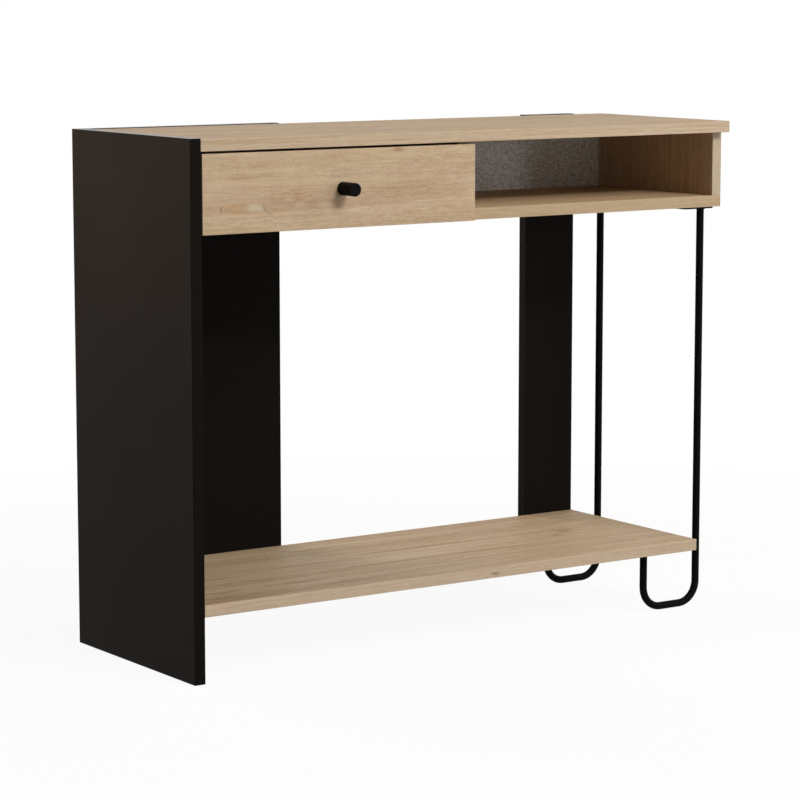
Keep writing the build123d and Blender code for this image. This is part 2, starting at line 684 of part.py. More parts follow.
def drawer_side(x_face, sign, outward):
    """One foil-wrapped side: groove inside, cam bores and back screws from the outside."""
    x_out = x_face + sign * runner_gap
    x_in = x_out + sign * drawer_board
    x_low, x_high = min(x_out, x_in), max(x_out, x_in)
    with BuildPart() as wall:
        body = block((x_low, x_high), (y_drawer_back_of_front, y_side_end), (z_side, z_side_top))
        fillet(body.edges().filter_by(Axis.Y).group_by(Axis.Z)[-1], radius=drawer_board / 6)
        with BuildSketch(Plane.XZ.offset(-y_drawer_back_of_front)):
            with Locations((x_in - sign * groove_depth / 2, (z_groove[0] + z_groove[1]) / 2)):
                Rectangle(groove_depth, z_groove[1] - z_groove[0])
        extrude(amount=-drawer_side_length, mode=Mode.SUBTRACT)
        with Locations(*seats([((x_out + x_in) / 2, y_drawer_back_of_front, z)
                               for z in drawer_fitting_zs], FRONT)):
            Hole(bolt_throat / 2, drawer_cam_setback + bolt_neck)
        with Locations(*seats([(x_out, y_drawer_back_of_front + drawer_cam_setback, z)
                               for z in drawer_fitting_zs], outward)):
            Hole(drawer_cam_diameter / 2, drawer_cam_height + fit)
        with Locations(*seats([(x_out, y_back_middle_of_drawer, z)
                               for z in drawer_fitting_zs], outward)):
            CounterSinkHole(wood_screw / 2 + fit, wood_screw_head / 2 + fit, counter_sink_angle=90)
        with Locations(*seats([((x_out + x_in) / 2, y, z_side) for y in seat_screw_ys], DOWN)):
            Hole(runner_screw / 2 + fit, seat_screw_length - steel + fit)
    return wall


for side, (x_face, sign, inward, outward) in sides.items():
    wall = drawer_side(x_face, sign, outward)
    wall.part.label = f"drawer_side_{side}"
    export_step(wall.part, f"parts/drawer_side_{side}.step")

with BuildPart() as drawer_back:
    block(x_cavity, (y_side_end - drawer_board, y_side_end), (z_bottom[1], z_side_top))
    with Locations(*seats([(x_cavity[0], y_back_middle_of_drawer, z) for z in drawer_fitting_zs], LEFT),
                   *seats([(x_cavity[1], y_back_middle_of_drawer, z) for z in drawer_fitting_zs], RIGHT)):
        Hole(wood_screw / 2 + fit, back_screw_length - drawer_board + fit)
    with Locations(*seats([(x, y_back_middle_of_drawer, z_bottom[1]) for x in bottom_screw_xs], DOWN)):
        Hole(runner_screw / 2 + fit, bottom_screw_length - bottom_thickness + fit)
drawer_back.part.label = "drawer_back"
export_step(drawer_back.part, "parts/drawer_back.step")

with BuildPart() as drawer_bottom:
    tongue = groove_depth - groove_play
    block((x_cavity[0] - tongue, x_cavity[1] + tongue), (y_drawer_back_of_front - tongue, y_side_end),
          z_bottom)
    with Locations(*seats([(x, y_back_middle_of_drawer, z_bottom[0]) for x in bottom_screw_xs], DOWN)):
        Hole(runner_screw / 2 + fit, bottom_thickness)
drawer_bottom.part.label = "drawer_bottom"
export_step(drawer_bottom.part, "parts/drawer_bottom.step")

with BuildPart() as drawer_bottom_screws:
    with Locations(*seats([(x, y_back_middle_of_drawer, z_bottom[0]) for x in bottom_screw_xs], DOWN)):
        add(bottom_screw_solid)
drawer_bottom_screws.part.label = "drawer_bottom_screws"
export_step(drawer_bottom_screws.part, "parts/drawer_bottom_screws.step")

with BuildPart() as drawer_back_screws:
    for x_face, sign, inward, outward in sides.values():
        with Locations(*seats([(x_face + sign * runner_gap, y_back_middle_of_drawer, z)
                               for z in drawer_fitting_zs], outward)):
            add(back_screw_solid)
drawer_back_screws.part.label = "drawer_back_screws"
export_step(drawer_back_screws.part, "parts/drawer_back_screws.step")

with BuildPart() as drawer_cam_bolts:
    with Locations(*seats([(x, y_drawer_back_of_front, z) for x in drawer_side_middles
                           for z in drawer_fitting_zs], BACK)):
        add(drawer_cam_bolt_solid)
drawer_cam_bolts.part.label = "drawer_cam_bolts"
export_step(drawer_cam_bolts.part, "parts/drawer_cam_bolts.step")

with BuildPart() as drawer_cam_locks:
    for x_face, sign, inward, outward in sides.values():
        with Locations(*seats([(x_face + sign * runner_gap, y_drawer_back_of_front + drawer_cam_setback, z)
                               for z in drawer_fitting_zs], outward, along=FRONT)):
            add(drawer_cam_solid)
drawer_cam_locks.part.label = "drawer_cam_locks"
export_step(drawer_cam_locks.part, "parts/drawer_cam_locks.step")

with BuildPart() as knob:
    with BuildSketch(Plane(origin=(x_knob, y_front, z_knob), z_dir=FRONT)):
        Circle(knob_diameter / 2)
    extrude(amount=knob_length)
    fillet(knob.edges().group_by(Axis.Y)[0], radius=knob_edge)
    with Locations(*seats([(x_knob, y_front, z_knob)], BACK)):
        Hole(wood_screw / 2 + fit, knob_screw_length - board + dowel_play)
knob.part.label = "knob"
export_step(knob.part, "parts/knob.step")

with BuildPart() as knob_screw:
    with Locations(*seats([(x_knob, y_drawer_back_of_front, z_knob)], BACK)):
        add(knob_screw_solid)
knob_screw.part.label = "knob_screw"
export_step(knob_screw.part, "parts/knob_screw.step")
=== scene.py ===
"""Looks of the writing desk: laminate boards, woven back, powder-coated rods, runners and screws.

Every length is in metres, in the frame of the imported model: X runs along the desk from the side
panel to the rod legs, Y from the drawer front to the back, Z up from the floor.
"""
import math

import bpy
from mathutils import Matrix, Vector


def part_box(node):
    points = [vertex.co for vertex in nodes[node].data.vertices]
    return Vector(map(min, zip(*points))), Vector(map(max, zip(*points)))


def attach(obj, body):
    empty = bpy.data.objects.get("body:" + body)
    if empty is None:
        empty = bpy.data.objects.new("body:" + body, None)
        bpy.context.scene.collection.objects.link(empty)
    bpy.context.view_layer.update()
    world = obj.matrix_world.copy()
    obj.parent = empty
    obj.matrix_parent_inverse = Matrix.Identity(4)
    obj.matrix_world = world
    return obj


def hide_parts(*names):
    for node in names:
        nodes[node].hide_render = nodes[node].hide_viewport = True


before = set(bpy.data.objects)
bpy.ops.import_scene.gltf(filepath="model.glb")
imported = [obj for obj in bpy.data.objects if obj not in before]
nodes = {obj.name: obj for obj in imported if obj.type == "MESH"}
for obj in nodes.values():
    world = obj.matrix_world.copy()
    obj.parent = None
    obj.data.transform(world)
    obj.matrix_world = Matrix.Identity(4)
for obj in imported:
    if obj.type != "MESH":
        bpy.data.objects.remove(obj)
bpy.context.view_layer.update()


# ---------------------------------------------------------------- node trees as expressions
def tone(red, green, blue):
    """A colour written in the 0 to 255 steps of a paint card, as the linear colour of a shader."""
    steps = [channel / 255 for channel in (red, green, blue)]
    linear = [s / 12.92 if s <= 0.04045 else ((s + 0.055) / 1.055) ** 2.4 for s in steps]
    return (*linear, 1.0)


def find_socket(sockets, key):
    """A socket by its index, its identifier or its name."""
    if isinstance(key, int):
        return sockets[key]
    for socket in sockets:
        if socket.identifier == key:
            return socket
    return sockets[key]


class Value:
    """A socket that stands in ordinary arithmetic: each operator adds its Math node."""

    def __init__(self, graph, socket):
        self.graph = graph
        self.socket = socket

    def __add__(self, other):
        return self.graph.math("ADD", self, other)

    def __sub__(self, other):
        return self.graph.math("SUBTRACT", self, other)

    def __rsub__(self, other):
        return self.graph.math("SUBTRACT", other, self)

    def __mul__(self, other):
        return self.graph.math("MULTIPLY", self, other)

    def __truediv__(self, other):
        return self.graph.math("DIVIDE", self, other)

    def __rtruediv__(self, other):
        return self.graph.math("DIVIDE", other, self)

    def __pow__(self, other):
        return self.graph.math("POWER", self, other)

    def __abs__(self):
        return self.graph.math("ABSOLUTE", self)

    __radd__ = __add__
    __rmul__ = __mul__

    def also(self, key):
        """Another result of the node that this value comes from."""
        return Value(self.graph, find_socket(self.socket.node.outputs, key))

    def step(self, low, high):
        """Goes smoothly from 0 at low to 1 at high."""
        return self.graph.node("ShaderNodeMapRange", {"interpolation_type": "SMOOTHSTEP"},
                               {"Value": self, "From Min": low, "From Max": high})

    def parts(self):
        """The three numbers of a vector."""
        first = self.graph.node("ShaderNodeSeparateXYZ", {}, {0: self})
        return first, first.also(1), first.also(2)


class Graph:
    """A node tree in the making."""

    def __init__(self, tree):
        self.tree = tree

    def node(self, kind, settings, sockets, result=0):
        """Adds a node, sets its settings, then its sockets, and gives one of its results."""
        made = self.tree.nodes.new(kind)
        for key, value in settings.items():
            setattr(made, key, value)
        for key, value in sockets.items():
            socket = find_socket(made.inputs, key)
            for source in value if isinstance(value, list) else [value]:
                if isinstance(source, Value):
                    self.tree.links.new(source.socket, socket)
                else:
                    socket.default_value = source
        return Value(self, find_socket(made.outputs, result)) if made.outputs else None

    def math(self, operation, *terms):
        return self.node("ShaderNodeMath", {"operation": operation}, dict(enumerate(terms)))

    def vector_math(self, operation, first, second):
        return self.node("ShaderNodeVectorMath", {"operation": operation}, {0: first, 1: second})

    def length(self, vector):
        return self.node("ShaderNodeVectorMath", {"operation": "LENGTH"}, {0: vector}, "Value")

    def scaled(self, vector, factor):
        return self.node("ShaderNodeVectorMath", {"operation": "SCALE"},
                         {0: vector, "Scale": factor})

    def vector(self, x, y, z):
        return self.node("ShaderNodeCombineXYZ", {}, {0: x, 1: y, 2: z})

    def colour_mix(self, factor, first, second):
        return self.node("ShaderNodeMix", {"data_type": "RGBA"},
                         {"Factor_Float": factor, "A_Color": first, "B_Color": second},
                         "Result_Color")

    def vector_mix(self, factor, first, second):
        return self.node("ShaderNodeMix", {"data_type": "VECTOR"},
                         {"Factor_Float": factor, "A_Vector": first, "B_Vector": second},
                         "Result_Vector")

    def noise(self, place, per_metre, detail=2.0, roughness=0.5, result=0):
        """Noise around 0.5 with so many features to the metre along each axis."""
        stretched = self.vector_math("MULTIPLY", place, per_metre)
        return self.node("ShaderNodeTexNoise", {},
                         {"Vector": stretched, "Scale": 1.0, "Detail": detail,
                          "Roughness": roughness}, result)


class Finish(Graph):
    """The node tree of one material."""

    def __init__(self, name):
        self.material = bpy.data.materials.new(name)
        self.material.use_nodes = True
        self.material.node_tree.nodes.clear()
        super().__init__(self.material.node_tree)

    def place(self):
        """The point on the piece, in metres."""
        return self.node("ShaderNodeTexCoord", {}, {}, "Object")

    def facing(self):
        """The direction that the piece's face looks in."""
        return self.node("ShaderNodeTexCoord", {}, {}, "Normal")

    def done(self, colour, roughness, height, depth, **constants):
        """Closes the tree: height goes from 0 to 1 over depth metres of relief."""
        relief = self.node("ShaderNodeBump", {}, {"Strength": 1.0, "Distance": depth,
                                                  "Height": height})
        shader = self.node("ShaderNodeBsdfPrincipled", {},
                           {"Base Color": colour, "Roughness": roughness, "Normal": relief,
                            **{key.replace("_", " "): value for key, value in constants.items()}})
        self.node("ShaderNodeOutputMaterial", {}, {"Surface": shader})
        return self.material


# ---------------------------------------------------------------- oak-pattern laminate
OAK_SAND = tone(186, 162, 129)
OAK_ROSE = tone(191, 165, 137)
OAK_PALE = tone(208, 187, 156)
OAK_DARK = tone(151, 122, 88)
OAK_PORE = tone(118, 88, 58)
OAK_RED = tone(158, 118, 86)
OAK_GREY = tone(190, 175, 149)
OAK_HONEY = tone(178, 143, 100)
OAK_KNOT = tone(108, 76, 50)
YEAR_RING = 0.0085
PORE_DEPTH = 0.00006


def oak(name, along, flat, heart, shift, face_tint, edge_tint, grain, bands, veins, blots=(),
        knots=(), curls=()):
    """Oak-pattern laminate. along is the axis of the grain and flat the axis (0, 1 or 2) that the
    board's two faces look along. heart is the Y and Z, or the X and Y, of the line that the year
    rings run round, and shift moves the pattern along the grain. The tints multiply the print on
    the faces and on the edge banding. grain, bands and veins are the strengths of the fine grain,
    of the broad darker and paler bands, and of long reddish lines.
    A blot is (centre, reach, colour, strength, how far it breaks up into flecks from 0 to 1), a
    knot is (centre, reach along and across the grain, how strongly the grain bends round it), and
    a curl is a thin line round an ellipse, (centre, reach), seen only inside a second ellipse."""
    oak_print = Finish(name)
    point = oak_print.place()

    def inside(spot, centre, reach):
        """How far a spot lies from a centre, where 1 is the edge of the reach."""
        away = oak_print.vector_math("SUBTRACT", spot, centre)
        return oak_print.length(oak_print.vector_math("DIVIDE", away, reach))

    bent = point
    for centre, reach, bend in knots:
        away = oak_print.vector_math("SUBTRACT", point, centre)
        nearness = 1 / (1 + inside(point, centre, reach) ** 2)
        across = (0, 1, 1) if along == "x" else (1, 1, 0)
        push = oak_print.scaled(oak_print.vector_math("MULTIPLY", away, across),
                                nearness * nearness * -bend)
        bent = oak_print.vector_math("ADD", bent, push)

    x, y, z = bent.parts()
    facings = [abs(part) for part in oak_print.facing().parts()]
    end_run = oak_print.vector(y + shift, x, z)
    if along == "x":
        board_run, end = oak_print.vector(x + shift, y, z), facings[0].step(0.6, 0.8)
    else:
        board_run, end = oak_print.vector(z + shift, x, y), facings[2].step(0.6, 0.8)
    run = oak_print.vector_mix(end, board_run, end_run)

    edge = 1 - facings[flat].step(0.5, 0.8)
    run = oak_print.vector_math("MULTIPLY", run,
                                oak_print.vector_mix(edge, (1.0, 1.0, 1.0), (0.35, 1.0, 1.0)))
    drift = oak_print.noise(run, (1.2, 3.5, 3.5), 2.0, 0.5, "Color")
    drift = oak_print.vector_math("SUBTRACT", drift, (0.5,) * 3)
    run = oak_print.vector_math("ADD", run, oak_print.vector_math(
        "MULTIPLY", drift, oak_print.vector_mix(edge, (0.0, 0.020, 0.020), (0.0, 0.004, 0.004))))

    _, side, depth = run.parts()
    radius = ((side - heart[0]) ** 2 + (depth - heart[1]) ** 2) ** 0.5
    year = oak_print.math("FRACT", radius / YEAR_RING)
    late_wood = year ** 3 * (1 - year.step(0.93, 1.0))

    zone = oak_print.noise(run, (1.8, 16.0, 16.0), 2.0).step(0.38, 0.62)
    broad = oak_print.noise(run, (0.9, 26.0, 26.0), 2.0)
    streak = oak_print.noise(run, (2.6, 130.0, 130.0), 3.0, 0.6)
    hair = oak_print.noise(run, (8.0, 330.0, 330.0), 2.0, 0.7)
    fleck = oak_print.noise(run, (48.0, 400.0, 400.0), 2.0, 0.7)
    grit = oak_print.noise(run, (210.0, 420.0, 420.0), 1.0)
    dash = oak_print.noise(run, (60.0, 330.0, 330.0), 2.0, 0.7)
    fibre = oak_print.noise(run, (28.0, 900.0, 900.0), 2.0, 0.6)
    pore = oak_print.noise(run, (70.0, 2400.0, 2400.0), 1.0).step(0.60, 0.72)
    red = oak_print.noise(run, (1.3, 80.0, 80.0), 2.0).step(0.60, 0.72)
    vein = oak_print.noise(run, (3.0, 80.0, 80.0), 2.0, 0.6).step(0.60, 0.70)
    band = oak_print.noise(run, (1.6, 58.0, 58.0), 2.0)

    colour = oak_print.colour_mix(zone, OAK_SAND, OAK_ROSE)
    contrast = 1 - edge * 0.45
    for layer, strength in ((broad.step(0.46, 0.74), 0.34 * bands),
                            (band.step(0.50, 0.74), 0.20 * bands),
                            (late_wood * broad.step(0.3, 0.7), 0.14 * grain),
                            (streak.step(0.50, 0.76), 0.32 * grain),
                            (hair.step(0.50, 0.74), 0.34 * grain),
                            (fleck.step(0.50, 0.74), 0.32 * grain),
                            (grit.step(0.45, 0.80), 0.26 * grain),
                            (fibre.step(0.45, 0.75), 0.24 * grain)):
        colour = oak_print.colour_mix(layer * contrast * strength, colour, OAK_DARK)
    for layer, strength in ((1 - band.step(0.26, 0.50), 0.20 * bands),
                            (1 - streak.step(0.26, 0.50), 0.24 * grain),
                            (1 - hair.step(0.28, 0.50), 0.34 * grain),
                            (1 - fleck.step(0.28, 0.50), 0.32 * grain),
                            (1 - grit.step(0.20, 0.50), 0.24 * grain)):
        colour = oak_print.colour_mix(layer * contrast * strength, colour, OAK_PALE)
    colour = oak_print.colour_mix(red * (0.36 * bands), colour, OAK_RED)
    colour = oak_print.colour_mix(vein * veins, colour, OAK_RED)
    for centre, reach, paint, strength, flecks in blots:
        mask = (1 - inside(bent, centre, reach)).step(0.0, 0.85)
        broken = dash.step(0.42, 0.62) * flecks + (1 - flecks)
        colour = oak_print.colour_mix(mask * broken * strength, colour, paint)
    for centre, reach, _ in knots:
        spread = inside(point, centre, reach) + (dash - 0.5) * 0.9 + (hair - 0.5) * 0.6
        arcs = oak_print.math("FRACT", spread * 1.3) ** 3 * (1 - spread.step(1.0, 2.4))
        colour = oak_print.colour_mix(arcs * 0.20, colour, OAK_KNOT)
    for centre, reach, seen_centre, seen_reach in curls:
        line = 1 - abs(inside(point, centre, reach) + (fleck - 0.5) * 0.20 - 1).step(0.0, 0.16)
        seen = (1 - inside(point, seen_centre, seen_reach)).step(0.0, 0.6)
        colour = oak_print.colour_mix(line * seen * 0.32, colour, OAK_KNOT)
    colour = oak_print.colour_mix(pore * 0.30, colour, OAK_PORE)
    tint = oak_print.vector_mix(edge, face_tint, edge_tint)
    colour = oak_print.vector_math("MULTIPLY", colour, tint)

    roughness = 0.50 + fibre * 0.14 + pore * 0.10
    height = fibre * 0.5 - pore * 0.5 + 0.5
    return oak_print.done(colour, roughness, height, PORE_DEPTH, Specular_IOR_Level=0.17)


def on_front(x, z):
    """A point on the drawer's front face."""
    return (x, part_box("drawer_front")[0].y, z)


def on_shelf(x, y):
    """A point on the lower shelf's upper face."""
    return (x, y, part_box("lower_shelf")[1].z)


drawer_blots = (
    (on_front(-0.425, 0.6900), (0.034, 0.03, 0.0095), OAK_HONEY, 0.60, 0.2),
    (on_front(-0.392, 0.6905), (0.022, 0.03, 0.0070), OAK_GREY, 0.80, 0.0),
    (on_front(-0.379, 0.6880), (0.016, 0.03, 0.0050), OAK_GREY, 0.50, 0.3),
    (on_front(-0.4495, 0.6900), (0.0035, 0.03, 0.0065), OAK_KNOT, 0.55, 0.2),
    (on_front(-0.318, 0.7045), (0.070, 0.03, 0.017), OAK_RED, 0.75, 0.9),
    (on_front(-0.316, 0.6920), (0.014, 0.03, 0.006), OAK_GREY, 0.50, 0.0),
    (on_front(-0.274, 0.6910), (0.022, 0.03, 0.006), OAK_GREY, 0.65, 0.0),
    (on_front(-0.110, 0.7050), (0.150, 0.03, 0.022), OAK_DARK, 0.62, 0.6),
    (on_front(-0.410, 0.7340), (0.050, 0.03, 0.007), OAK_RED, 0.35, 0.3),
    (on_front(-0.143, 0.7670), (0.014, 0.03, 0.0040), OAK_RED, 0.90, 0.3),
    (on_front(-0.240, 0.7060), (0.300, 0.03, 0.024), OAK_DARK, 0.20, 0.3),
    (on_front(-0.022, 0.7350), (0.016, 0.03, 0.006), OAK_RED, 0.35, 0.2),
)
drawer_knots = (
    (on_front(-0.405, 0.6900), (0.050, 0.03, 0.0100), 0.55),
    (on_front(-0.143, 0.7670), (0.010, 0.03, 0.0030), 0.50),
)
drawer_curls = (
    (on_front(-0.355, 0.6935), (0.0225, 0.03, 0.0145),
     on_front(-0.371, 0.688), (0.017, 0.03, 0.014)),
)
shelf_blots = (
    (on_shelf(-0.277, -0.091), (0.080, 0.009, 0.03), OAK_DARK, 0.80, 0.2),
    (on_shelf(-0.370, -0.004), (0.060, 0.008, 0.03), OAK_DARK, 0.75, 0.2),
    (on_shelf(-0.417, -0.094), (0.060, 0.009, 0.03), OAK_DARK, 0.75, 0.2),
    (on_shelf(-0.436, -0.127), (0.050, 0.009, 0.03), OAK_DARK, 0.75, 0.2),
    (on_shelf(-0.210, -0.126), (0.100, 0.009, 0.03), OAK_DARK, 0.60, 0.2),
    (on_shelf(-0.197, 0.020), (0.085, 0.008, 0.03), OAK_RED, 0.60, 0.2),
    (on_shelf(0.035, 0.040), (0.190, 0.008, 0.03), OAK_RED, 0.75, 0.3),
    (on_shelf(-0.120, 0.116), (0.085, 0.009, 0.03), OAK_RED, 0.80, 0.3),
    (on_shelf(-0.165, 0.130), (0.020, 0.006, 0.03), OAK_RED, 0.80, 0.0),
    (on_shelf(0.118, -0.040), (0.105, 0.008, 0.03), OAK_RED, 0.85, 0.2),
    (on_shelf(-0.035, -0.013), (0.160, 0.028, 0.03), OAK_PALE, 0.50, 0.0),
    (on_shelf(0.311, 0.022), (0.022, 0.014, 0.03), OAK_KNOT, 0.55, 0.5),
    (on_shelf(0.277, -0.001), (0.014, 0.008, 0.03), OAK_KNOT, 0.50, 0.5),
    ((0.039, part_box("lower_shelf")[0].y, 0.1055), (0.012, 0.010, 0.004), OAK_KNOT, 0.55, 0.3),
)
shelf_knots = (
    (on_shelf(0.311, 0.022), (0.018, 0.011, 0.03), 0.50),
    (on_shelf(0.277, -0.001), (0.012, 0.007, 0.03), 0.50),
)
PLAIN = (1.0, 1.0, 1.0)
BANDING = (0.98, 1.02, 1.07)
oak_finishes = {
    "drawer_front": oak("oak_drawer_front", "x", 1, (-0.06, 0.735), 0.31, PLAIN, PLAIN,
                        0.92, 0.75, 0.06, drawer_blots, drawer_knots, drawer_curls),
    "lower_shelf": oak("oak_shelf", "x", 2, (-0.10, 0.02), 1.70, (1.02, 1.035, 1.035), BANDING,
                       1.3, 1.7, 0.30, shelf_blots, shelf_knots),
    "tabletop": oak("oak_tabletop", "x", 2, (0.05, 0.66), 2.90, PLAIN, BANDING, 1.4, 1.3, 0.30),
    # The box floor's face tint (0.99, 0.94, 0.85) is painted shade: it darkens and warms the niche
    # floor the way light bouncing between the oak boards does.
    "box_floor": oak("oak_box_floor", "x", 2, (-0.02, 0.60), 4.10, (0.99, 0.94, 0.85),
                     (0.90, 0.90, 0.88), 1.0, 1.0, 0.15),
    # The short side's face tint (1.03, 0.98, 0.95) is painted warm bounce light from the niche, laid
    # on both of its faces.
    "right_short_side": oak("oak_short_side", "z", 0, (0.40, -0.02), 5.30, (1.03, 0.98, 0.95),
                            (0.94, 1.03, 1.16), 0.9, 0.8, 0.15),
    "partition": oak("oak_partition", "z", 0, (0.07, 0.05), 6.70, (1.02, 0.98, 0.92), PLAIN,
                     1.0, 1.0, 0.10),
}


# ---------------------------------------------------------------- the other board finishes
def black_laminate(name):
    """Black laminate with a fine upright grain pressed into it. The banding on its upper edges is
    smoother than its faces."""
    black = Finish(name)
    point = black.place()
    grain = black.noise(point, (420.0, 420.0, 14.0), 3.0, 0.6)
    cloud = black.noise(point, (5.0, 5.0, 3.0), 2.0)
    pearl = black.noise(point, (900.0, 900.0, 900.0), 1.0)
    colour = black.colour_mix(cloud * 0.6 + grain * 0.4, tone(11, 8, 6), tone(17, 13, 10))
    upper_edge = black.facing().parts()[2].step(0.6, 0.9)
    roughness = 0.40 + cloud * 0.10 + grain * 0.10 - upper_edge * 0.30
    return black.done(colour, roughness, grain * 0.6 + pearl * 0.4, 0.00005,
                      Specular_IOR_Level=0.034)


def woven_laminate(name):
    """Laminate with the look of a woven linen cloth: threads along X and along Z."""
    woven = Finish(name)
    point = woven.place()
    x, _, z = point.parts()
    pitch = 0.0026
    warp = woven.noise(point, (470.0, 1.0, 95.0), 2.0, 0.7)
    weft = woven.noise(point, (95.0, 1.0, 470.0), 2.0, 0.7)
    slub = woven.noise(point, (240.0, 1.0, 240.0), 2.0)
    turn = 2 * math.pi / pitch
    over = woven.math("SINE", x * turn) * woven.math("SINE", z * turn) * 0.5 + 0.5
    threads = warp.step(0.32, 0.68) * over + weft.step(0.32, 0.68) * (1 - over)
    shade = threads * 0.86 + slub.step(0.3, 0.7) * 0.14
    colour = woven.colour_mix(shade, tone(150, 146, 141), tone(255, 252, 246))
    roughness = 0.62 + threads * 0.15
    return woven.done(colour, roughness, over * 0.6 + threads * 0.4, 0.00012,
                      Specular_IOR_Level=0.3)


def foil_board(name, pale, shaded):
    """Light foil on board with a faint pressed fibre."""
    foil = Finish(name)
    point = foil.place()
    fibre = foil.noise(point, (500.0, 24.0, 500.0), 3.0, 0.6)
    cloud = foil.noise(point, (9.0, 9.0, 9.0), 2.0)
    colour = foil.colour_mix(fibre.step(0.35, 0.7) * 0.7 + cloud * 0.3, pale, shaded)
    return foil.done(colour, 0.45 + fibre * 0.15, fibre, 0.00004, Specular_IOR_Level=0.4)


def beech(name):
    """Bare beech: short dark flecks along the dowel."""
    wood = Finish(name)
    point = wood.place()
    fleck = wood.noise(point, (260.0, 1400.0, 1400.0), 2.0, 0.6)
    colour = wood.colour_mix(fleck.step(0.4, 0.7), tone(214, 180, 140), tone(176, 134, 92))
    return wood.done(colour, 0.6 + fleck * 0.2, fleck, 0.00008)


# ---------------------------------------------------------------- steel, nylon and the knob
def powder_coat(name, deep, raised, sheen_low, sheen_high, level):
    """Powder coat: a fine skin like orange peel with tiny changes of sheen."""
    coat = Finish(name)
    point = coat.place()
    peel = coat.noise(point, (1100.0,) * 3, 2.0, 0.5)
    cloud = coat.noise(point, (30.0,) * 3, 2.0)
    colour = coat.colour_mix(cloud * 0.5 + peel * 0.5, deep, raised)
    roughness = sheen_low + (sheen_high - sheen_low) * cloud
    return coat.done(colour, roughness, peel, 0.00006, Specular_IOR_Level=level)


def zinc_plate(name):
    """Zinc-plated steel, slightly cloudy, with fine marks of the tool."""
    zinc = Finish(name)
    point = zinc.place()
    cloud = zinc.noise(point, (220.0,) * 3, 3.0, 0.6)
    marks = zinc.noise(point, (400.0, 400.0, 5200.0), 2.0, 0.6)
    colour = zinc.colour_mix(cloud, tone(176, 178, 178), tone(212, 208, 196))
    return zinc.done(colour, 0.28 + cloud * 0.22, marks, 0.00003, Metallic=1.0)


def nylon(name):
    """Natural nylon, milky, with the soft skin of a moulding."""
    moulded = Finish(name)
    point = moulded.place()
    milk = moulded.noise(point, (180.0,) * 3, 2.0)
    skin = moulded.noise(point, (1500.0,) * 3, 2.0)
    colour = moulded.colour_mix(milk, tone(222, 220, 210), tone(236, 233, 222))
    return moulded.done(colour, 0.36 + milk * 0.14, skin, 0.00004)


def knob_lacquer(name):
    """Matt black lacquer on the knob, with the faint rings of its turning."""
    lacquer = Finish(name)
    point = lacquer.place()
    skin = lacquer.noise(point, (1300.0,) * 3, 2.0)
    turned = lacquer.noise(point, (60.0, 2600.0, 60.0), 1.0)
    colour = lacquer.colour_mix(skin, tone(6, 6, 6), tone(10, 10, 10))
    return lacquer.done(colour, 0.42 + turned * 0.12, skin * 0.5 + turned * 0.5, 0.00004,
                        Specular_IOR_Level=0.035)


slot_finishes = {
    "black_board": black_laminate("black_laminate"),
    "woven_board": woven_laminate("woven_laminate"),
    "drawer_board": foil_board("drawer_foil", tone(206, 203, 198), tone(190, 186, 180)),
    "hardboard": foil_board("painted_hardboard", tone(220, 217, 211), tone(204, 200, 193)),
    "dowel_wood": beech("beech"),
    "black_steel": powder_coat("black_powder_coat", tone(8, 8, 8), tone(13, 13, 13),
                               0.55, 0.68, 0.03),
    "runner_steel": powder_coat("white_powder_coat", tone(214, 214, 210), tone(226, 226, 223),
                                0.35, 0.5, 0.5),
    "zinc_steel": zinc_plate("zinc_plate"),
    "roller_nylon": nylon("natural_nylon"),
    "knob_black": knob_lacquer("knob_lacquer"),
}

for name, piece in nodes.items():
    finish = oak_finishes.get(name) or slot_finishes[piece.material_slots[0].material.name]
    piece.material_slots[0].material = finish


# ---------------------------------------------------------------- welds and cross-head screws
MILLIMETRE = 0.001
SHARP_ANGLE = 35
DOWN, BACK = Vector((0, 0, -1)), Vector((0, 1, 0))
LEFT, RIGHT = Vector((-1, 0, 0)), Vector((1, 0, 0))


